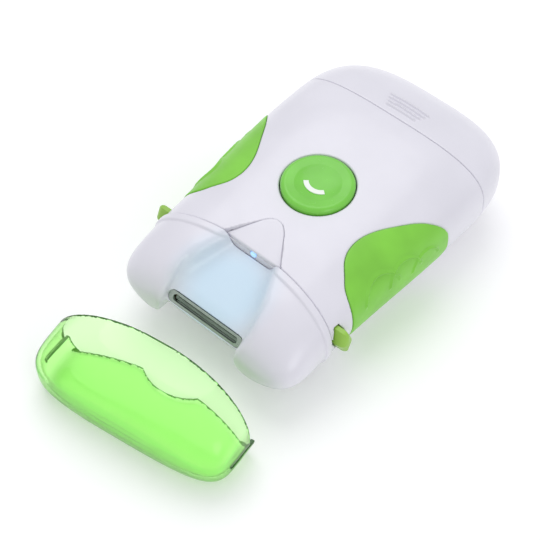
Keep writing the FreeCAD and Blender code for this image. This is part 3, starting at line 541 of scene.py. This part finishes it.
def settle(field, points, limit):
    """Move points onto the surface, and return them with its normals."""
    small = 0.02
    for turn in range(4):
        value = field(*points.T)
        gradient = np.zeros_like(points)
        for axis in range(3):
            step = np.zeros(3)
            step[axis] = small
            ahead = field(*(points + step).T)
            astern = field(*(points - step).T)
            gradient[:, axis] = (ahead - astern) / (2.0 * small)
        size = np.linalg.norm(gradient, axis=1)
        normal = gradient / np.maximum(size, 1e-6)[:, None]
        if turn < 3:
            move = np.clip(value / np.maximum(size, 0.3), -limit, limit)
            points = points - normal * move[:, None]
    return points, normal


def split_quads(points, quads):
    """Every quad becomes four."""
    count = len(points)
    starts = quads
    ends = np.roll(quads, -1, axis=1)
    low = np.minimum(starts, ends)
    high = np.maximum(starts, ends)
    keys, inverse = np.unique(low.astype(np.int64) * count + high, return_inverse=True)
    inverse = inverse.reshape(quads.shape)
    middles = (points[keys // count] + points[keys % count]) / 2.0
    centres = points[quads].mean(axis=1)
    edge_at = count + inverse
    centre_at = count + len(keys) + np.arange(len(quads))
    parts = []
    for corner in range(4):
        ring = [quads[:, corner], edge_at[:, corner], centre_at, edge_at[:, corner - 1]]
        parts.append(np.stack(ring, 1))
    return np.concatenate([points, middles, centres]), np.concatenate(parts)


def field_mesh(field, low, high, step, splits):
    """Points, quads and normals of a field's surface, in millimetres."""
    points, quads = surface_net(field, low, high, step)
    points, normals = settle(field, points, 0.5 * step)
    for _ in range(splits):
        step *= 0.5
        points, quads = split_quads(points, quads)
        points, normals = settle(field, points, 0.5 * step)
    return points, quads, normals


def mirrored(points, quads, normals):
    """The same mesh on the left-hand side."""
    flip = np.array((-1.0, 1.0, 1.0))
    return points * flip, quads[:, ::-1], normals * flip


def make_piece(name, points, quads, normals, material):
    """Blender object from points in millimetres, smooth-shaded with the field's own normals."""
    mesh = bpy.data.meshes.new(name)
    mesh.from_pydata((points * MM).tolist(), [], quads.tolist())
    mesh.validate()
    mesh.polygons.foreach_set("use_smooth", [True] * len(mesh.polygons))
    if len(normals) == len(mesh.vertices):
        mesh.normals_split_custom_set_from_vertices(normals.tolist())
    mesh.materials.append(material)
    piece = bpy.data.objects.new(name, mesh)
    bpy.context.scene.collection.objects.link(piece)
    return piece


def register(piece, body, node):
    """Let a piece ride on a body, in place of a CAD node."""
    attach(piece, body)
    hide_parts(node)


# ---------- materials ----------

def linear(red, green, blue):
    """Screen colour 0 to 255 as the shader's linear colour."""
    channels = []
    for value in (red, green, blue):
        v = value / 255.0
        channels.append(v / 12.92 if v <= 0.04045 else ((v + 0.055) / 1.055) ** 2.4)
    return (*channels, 1.0)


def scaled(colour, factor):
    """A lighter or darker colour, fully opaque."""
    return (*[min(1.0, c * factor) for c in colour[:3]], 1.0)


class Shader:
    """Small helper that adds nodes to one material."""

    def __init__(self, name):
        self.material = bpy.data.materials.new(name)
        self.material.use_nodes = True
        self.nodes = self.material.node_tree.nodes
        self.links = self.material.node_tree.links
        self.surface = self.nodes["Principled BSDF"]
        self.place = self.nodes.new("ShaderNodeTexCoord").outputs["Object"]

    def set(self, **values):
        for name, value in values.items():
            self.surface.inputs[name.replace("_", " ")].default_value = value

    def noise(self, size_mm, detail=3.0, stretch=(1.0, 1.0, 1.0)):
        """Noise whose features are about size_mm across."""
        mapping = self.nodes.new("ShaderNodeMapping")
        mapping.inputs["Scale"].default_value = stretch
        self.links.new(self.place, mapping.inputs["Vector"])
        node = self.nodes.new("ShaderNodeTexNoise")
        node.inputs["Scale"].default_value = 1.0 / (size_mm * MM)
        node.inputs["Detail"].default_value = detail
        self.links.new(mapping.outputs["Vector"], node.inputs["Vector"])
        return node.outputs["Fac"]

    def cells(self, size_mm):
        """Distance within cells about size_mm across."""
        node = self.nodes.new("ShaderNodeTexVoronoi")
        node.inputs["Scale"].default_value = 1.0 / (size_mm * MM)
        self.links.new(self.place, node.inputs["Vector"])
        return node.outputs["Distance"]

    def remap(self, source, low, high, start=0.3, end=0.7):
        node = self.nodes.new("ShaderNodeMapRange")
        node.inputs["From Min"].default_value = start
        node.inputs["From Max"].default_value = end
        node.inputs["To Min"].default_value = low
        node.inputs["To Max"].default_value = high
        self.links.new(source, node.inputs["Value"])
        return node.outputs["Result"]

    def nearness(self, place, reach):
        """1 at a place, given in mm, falling smoothly to 0 at reach."""
        node = self.nodes.new("ShaderNodeVectorMath")
        node.operation = "DISTANCE"
        node.inputs[1].default_value = [c * MM for c in place]
        self.links.new(self.place, node.inputs[0])
        falloff = self.remap(node.outputs["Value"], 1.0, 0.0, 0.35 * reach * MM, reach * MM)
        falloff.node.interpolation_type = "SMOOTHSTEP"
        return falloff

    def blend(self, share, first, second):
        node = self.nodes.new("ShaderNodeMix")
        node.data_type = "RGBA"
        self.links.new(share, node.inputs["Factor"])
        for socket, value in ((node.inputs["A"], first), (node.inputs["B"], second)):
            if isinstance(value, tuple):
                socket.default_value = value
            else:
                self.links.new(value, socket)
        return node.outputs["Result"]

    def bump(self, source, height_mm):
        """Height of a pattern, on top of any bump that is there already."""
        node = self.nodes.new("ShaderNodeBump")
        node.inputs["Strength"].default_value = 1.0
        node.inputs["Distance"].default_value = height_mm * MM
        self.links.new(source, node.inputs["Height"])
        before = self.surface.inputs["Normal"].links
        if before:
            self.links.new(before[0].from_socket, node.inputs["Normal"])
        self.links.new(node.outputs["Normal"], self.surface.inputs["Normal"])

    def colour(self, source):
        self.links.new(source, self.surface.inputs["Base Color"])

    def roughness(self, source):
        self.links.new(source, self.surface.inputs["Roughness"])

    def worn_edge(self):
        """Share of the surface that lies on a convex edge."""
        node = self.nodes.new("ShaderNodeNewGeometry")
        return self.remap(node.outputs["Pointiness"], 0.0, 1.0, 0.55, 0.63)


def moulded(name, colour, rough, grain_mm=0.35, grain_height=0.004, drift=0.05, edge=0.06,
            painted_pool=None, **settings):
    """Moulded plastic: slow drift of colour and gloss, fine grain, edges worn a little lighter.
    No wear where edge is 0. The argument after edge paints a pool of a lamp's light into the
    colour; it gives the pool's place, reach in mm and colour."""
    shader = Shader(name)
    shader.set(**settings)
    slow = shader.remap(shader.noise(16.0, 2.0), 0.0, 1.0)
    base = shader.blend(slow, scaled(colour, 1.0 - drift), scaled(colour, 1.0 + drift * 0.5))
    # Painted light: the colour turns to the lamp's tint near its place, a painted pool of its
    # light.
    if painted_pool:
        base = shader.blend(shader.nearness(*painted_pool[:2]), base, painted_pool[2])
    if edge:
        worn = shader.remap(shader.worn_edge(), 0.0, edge, 0.0, 1.0)
        base = shader.blend(worn, base, (1.0, 1.0, 1.0, 1.0))
    shader.colour(base)
    shader.roughness(shader.remap(shader.noise(2.5, 2.0), rough * 0.93, rough * 1.1))
    shader.bump(shader.noise(grain_mm, 2.0), grain_height)
    return shader.material


def metal(name, colour, rough, stretch=(1.0, 1.0, 1.0), scratch_mm=0.3, height=0.003):
    """Metal with scratches drawn out along one direction and duller patches."""
    shader = Shader(name)
    shader.set(Metallic=1.0)
    patch = shader.remap(shader.noise(3.0, 4.0), 0.0, 1.0)
    shader.colour(shader.blend(patch, scaled(colour, 0.82), colour))
    fine = shader.noise(scratch_mm, 4.0, stretch)
    shader.roughness(shader.remap(fine, rough * 0.7, rough * 1.4))
    shader.bump(fine, height)
    return shader.material


def soft_green(name, colour, rough, grain_mm, grain_height, sheen):
    """Rubbery green with a fine pebbled grain and a soft bloom."""
    shader = Shader(name)
    shader.set(Sheen_Weight=sheen, Sheen_Roughness=0.5, Specular_IOR_Level=0.4)
    slow = shader.remap(shader.noise(12.0, 2.0), 0.0, 1.0)
    shader.colour(shader.blend(slow, scaled(colour, 0.90), scaled(colour, 1.06)))
    shader.roughness(shader.remap(shader.noise(1.6, 5.0), rough * 0.85, rough * 1.15))
    shader.bump(shader.cells(grain_mm), grain_height)
    return shader.material


def clear_plastic(name, colour, rough, glow, passed, density):
    """Clear fluorescent-green plastic with a faint painted glow standing in for light that passes
    through it, deeper in tint along edges, and darker where it is seen at a slant, partly deeper
    tint and partly painted shade.
    """
    shader = Shader(name)
    # The emission here is a painted glow: faint green light of the cover's own, standing in for
    # light that passes through it.
    shader.set(Transmission_Weight=1.0, IOR=1.30, Emission_Strength=0.06)
    slant = shader.nodes.new("ShaderNodeLayerWeight")
    slant.inputs["Blend"].default_value = 0.5
    # Base colour darker where the wall is seen at a slant: partly the deeper tint of a longer path
    # through the wall, partly painted shade on the cover's lower front.
    slant_tint_and_shade = shader.remap(slant.outputs["Facing"], 0.0, 1.0, 0.36, 0.75)
    shader.colour(shader.blend(slant_tint_and_shade, colour, scaled(passed, 0.45)))
    # Painted glow colour, fading out where the wall is seen at a slant.
    painted_glow_tint = shader.blend(slant_tint_and_shade, glow, scaled(glow, 0.05))
    shader.links.new(painted_glow_tint, shader.surface.inputs["Emission Color"])
    inside = shader.nodes.new("ShaderNodeVolumeAbsorption")
    inside.inputs["Color"].default_value = passed
    inside.inputs["Density"].default_value = density
    shader.links.new(inside.outputs["Volume"], shader.nodes["Material Output"].inputs["Volume"])
    shader.roughness(shader.remap(shader.noise(5.0, 3.0), rough * 0.6, rough * 1.4))
    shader.bump(shader.noise(7.0, 2.0), 0.012)
    return shader.material


def glowing(name, colour, power):
    """Lit lens of a lamp."""
    shader = Shader(name)
    shader.set(Emission_Color=colour, Emission_Strength=power, Base_Color=colour)
    shader.roughness(shader.remap(shader.noise(0.8), 0.1, 0.25))
    shader.bump(shader.noise(0.5), 0.004)
    return shader.material


WHITE = linear(222, 220, 229)
GLOSS = {"Coat_Weight": 0.25, "Coat_Roughness": 0.12}
# Painted pool of the lamp's pale blue light on the head's deck: place and reach in mm, and colour.
PAINTED_LAMP_POOL = ((0.0, -43.0, 27.0), 21.0, linear(205, 226, 242))
GREEN = linear(128, 203, 66)
MATERIALS = {
    "white_case": moulded("white_case", WHITE, 0.30, drift=0.03, edge=0.0, **GLOSS),
    "green_grip": soft_green("green_grip", GREEN, 0.40, 0.30, 0.006, 0.06),
    "green_button": soft_green("green_button", linear(122, 204, 76), 0.24, 0.35, 0.003, 0.05),
    "mark_white": moulded("mark_white", linear(235, 240, 232), 0.35, grain_height=0.002),
    "slot_dark": metal("slot_dark", linear(186, 198, 188), 0.30, (1.0, 8.0, 8.0)),
    "drum_steel": metal("drum_steel", linear(150, 162, 152), 0.38, (0.2, 2.0, 2.0), 0.2, 0.02),
    "shaft_steel": metal("shaft_steel", linear(195, 197, 200), 0.22, (0.1, 2.0, 2.0)),
    "bush_brass": metal("bush_brass", linear(205, 170, 95), 0.30),
    "gear_white": moulded("gear_white", linear(235, 233, 224), 0.40, grain_height=0.003),
    "motor_steel": metal("motor_steel", linear(180, 182, 184), 0.28, (0.1, 1.5, 1.5)),
    "motor_cap": moulded("motor_cap", linear(40, 42, 48), 0.45),
    "bracket_grey": moulded("bracket_grey", linear(150, 152, 156), 0.50),
    "board_green": moulded("board_green", linear(30, 105, 62), 0.35, 0.5, 0.01, 0.15),
    "switch_black": moulded("switch_black", linear(34, 34, 37), 0.40),
    "cell_wrap": moulded("cell_wrap", linear(52, 66, 82), 0.25, 1.5, 0.004, 0.2, Metallic=0.6),
    "contact_steel": metal("contact_steel", linear(205, 205, 200), 0.25),
    "screw_steel": metal("screw_steel", linear(160, 160, 165), 0.30),
    "lamp_lens": glowing("lamp_lens", linear(170, 212, 255), 0.6),
    # The third colour is the cover's painted green glow.
    "clear_green": clear_plastic("clear_green", linear(240, 254, 228), 0.05,
                                 (0.30, 1.0, 0.04, 1.0), (0.50, 0.95, 0.24, 1.0), 165.0),
}
# Case white with the lamp's pool of light painted on, for the head.
PAINTED_POOL_WHITE = moulded("painted_pool_white", WHITE, 0.30, drift=0.03, edge=0.0, painted_pool=PAINTED_LAMP_POOL, **GLOSS)
KNOB_GREEN = soft_green("knob_green", linear(146, 192, 74), 0.32, 0.35, 0.003, 0.05)
CLEAR_EDGE = moulded("clear_edge", linear(50, 98, 42), 0.2, Transmission_Weight=0.2)

SLOT_OF = {entry["node"]: entry["material_slot"] for entry in frame["record"]["subparts"]}
for node, node_object in frame["nodes"].items():
    if node in SLOT_OF:
        node_object.data.materials.clear()
        node_object.data.materials.append(MATERIALS[SLOT_OF[node]])


# ---------- pieces ----------

FINE = 0.8     # grid step, in millimetres
SPLITS = 1
WHITE_CASE = MATERIALS["white_case"]


def half_of(field, side):
    """The part of a field above the parting plane for side 1.0, or below it for side -1.0."""
    def part(x, y, z):
        return smooth_max(field(x, y, z), side * (SPLIT_Z - z), 0.15)
    return part


# Name, field, lowest and highest corner, step, material, body, node
WHITE_PIECES = (
    ("upper_casing", half_of(casing, 1.0), (-38.6, -38.0, 13.0), (38.6, 38.4, 37.2),
     FINE, WHITE_CASE, "body", "top_shell"),
    ("lower_casing", half_of(casing, -1.0), (-38.6, -38.0, -0.8), (38.6, 38.4, 15.0),
     FINE, WHITE_CASE, "body", "bottom_shell"),
    ("battery_cover_shell", rear_cap, (-38.6, 32.8, -0.8), (38.6, 63.2, 36.8),
     FINE * 0.75, WHITE_CASE, "battery_cover", "rear_cap"),
    ("head_top", half_of(head, 1.0), (-37.0, -58.0, 13.0), (37.0, -28.8, 36.0),
     FINE * 0.8, PAINTED_POOL_WHITE, "head", "head_upper"),
    ("head_base", half_of(head, -1.0), (-37.0, -58.0, 5.2), (37.0, -28.8, 15.0),
     FINE, WHITE_CASE, "head", "head_lower"),
    ("brow_hood", brow, (-11.5, -31.0, 30.0), (11.5, -15.5, 37.0),
     FINE * 0.6, WHITE_CASE, "body", "brow"),
)
for name, field, low, high, step, material, body, node in WHITE_PIECES:
    piece = make_piece(name, *field_mesh(field, low, high, step, SPLITS), material)
    register(piece, body, node)

grip_mesh = field_mesh(grip, (19.5, -27.0, 4.8), (39.0, 24.0, 34.0), FINE * 0.75, SPLITS)
for side, mesh in (("right", grip_mesh), ("left", mirrored(*grip_mesh))):
    piece = make_piece("side_grip_" + side, *mesh, MATERIALS["green_grip"])
    register(piece, "body", "grip_" + side)

knob_mesh = field_mesh(release_button, (26.6, -34.2, 14.6), (39.0, -25.4, 24.6), FINE * 0.5, SPLITS)
for side, mesh in (("right", knob_mesh), ("left", mirrored(*knob_mesh))):
    piece = make_piece("release_knob_" + side, *mesh, KNOB_GREEN)
    register(piece, "release_button_" + side, "release_" + side)


def rim_faces(points, quads):
    """Faces that lie on the cover's opening edges, slits and notch."""
    return cover_reach(*points[quads].mean(axis=1).T) > -0.2


def make_cover():
    """Clear cover where it lies, with its cut edges in a material of their own."""
    points, quads, normals = field_mesh(cover, (-36.0, -70.0, 3.4), (36.0, -39.0, 31.6), FINE,
                                        SPLITS)
    on_rim = rim_faces(points, quads)
    points, normals = laid_down(points, normals)
    piece = make_piece("clear_cover", points, quads, normals, MATERIALS["clear_green"])
    piece.data.materials.append(CLEAR_EDGE)
    piece.data.polygons.foreach_set("material_index", on_rim.astype(int))
    register(piece, "cover", "front_cover")


make_cover()


# ---------- floor, light, camera ----------

def plain(name, colour, rough, glow):
    """Matt surface with a little light of its own."""
    shader = Shader(name)
    shader.set(Base_Color=colour, Roughness=rough, Specular_IOR_Level=0.2)
    shader.set(Emission_Color=colour, Emission_Strength=glow)
    return shader.material


def make_floor():
    size = 3.0
    corners = [(-size, -size, 0.0), (size, -size, 0.0), (size, size, 0.0), (-size, size, 0.0)]
    mesh = bpy.data.meshes.new("floor")
    mesh.from_pydata(corners, [], [(0, 1, 2, 3)])
    mesh.materials.append(plain("floor", (0.97, 0.97, 0.97, 1.0), 0.7, 0.09))
    floor = bpy.data.objects.new("floor", mesh)
    bpy.context.scene.collection.objects.link(floor)


def soft_light(name, place, target, size, power):
    data = bpy.data.lights.new(name, "AREA")
    data.shape = "DISK"
    data.size = size
    data.energy = power
    light = bpy.data.objects.new(name, data)
    light.location = Vector(place)
    light.rotation_mode = "QUATERNION"
    light.rotation_quaternion = (Vector(target) - Vector(place)).to_track_quat("-Z", "Y")
    bpy.context.scene.collection.objects.link(light)


def make_lights():
    world = bpy.data.worlds.new("studio")
    world.use_nodes = True
    world.node_tree.nodes["Background"].inputs["Color"].default_value = (0.97, 0.98, 1.0, 1.0)
    world.node_tree.nodes["Background"].inputs["Strength"].default_value = 0.74
    bpy.context.scene.world = world
    soft_light("overhead", (-0.35, 0.25, 0.9), (0.0, 0.0, 0.0), 0.9, 3.4)
    soft_light("side", (0.8, -0.3, 0.5), (0.0, 0.0, 0.02), 0.5, 1.2)


def make_camera():
    angles = (CAMERA_AZIMUTH, CAMERA_ELEVATION, CAMERA_ROLL)
    azimuth, elevation, roll = (math.radians(a) for a in angles)
    back = Vector((math.sin(azimuth) * math.cos(elevation),
                   -math.cos(azimuth) * math.cos(elevation), math.sin(elevation)))
    level = Vector((math.cos(azimuth), math.sin(azimuth), 0.0))
    rise = back.cross(level)
    right = math.cos(roll) * level + math.sin(roll) * rise
    up = back.cross(right)
    data = bpy.data.cameras.new("camera")
    data.sensor_width = SENSOR_WIDTH
    data.lens = SENSOR_WIDTH * CAMERA_DISTANCE / VIEW_WIDTH
    camera = bpy.data.objects.new("camera", data)
    place = (Vector(CAMERA_TARGET) + back * CAMERA_DISTANCE) * MM
    turn = Matrix((right, up, back)).transposed().to_4x4()
    camera.matrix_world = Matrix.Translation(place) @ turn
    bpy.context.scene.collection.objects.link(camera)
    bpy.context.scene.camera = camera


make_floor()
make_lights()
make_camera()
bpy.context.scene.view_settings.view_transform = "Standard"
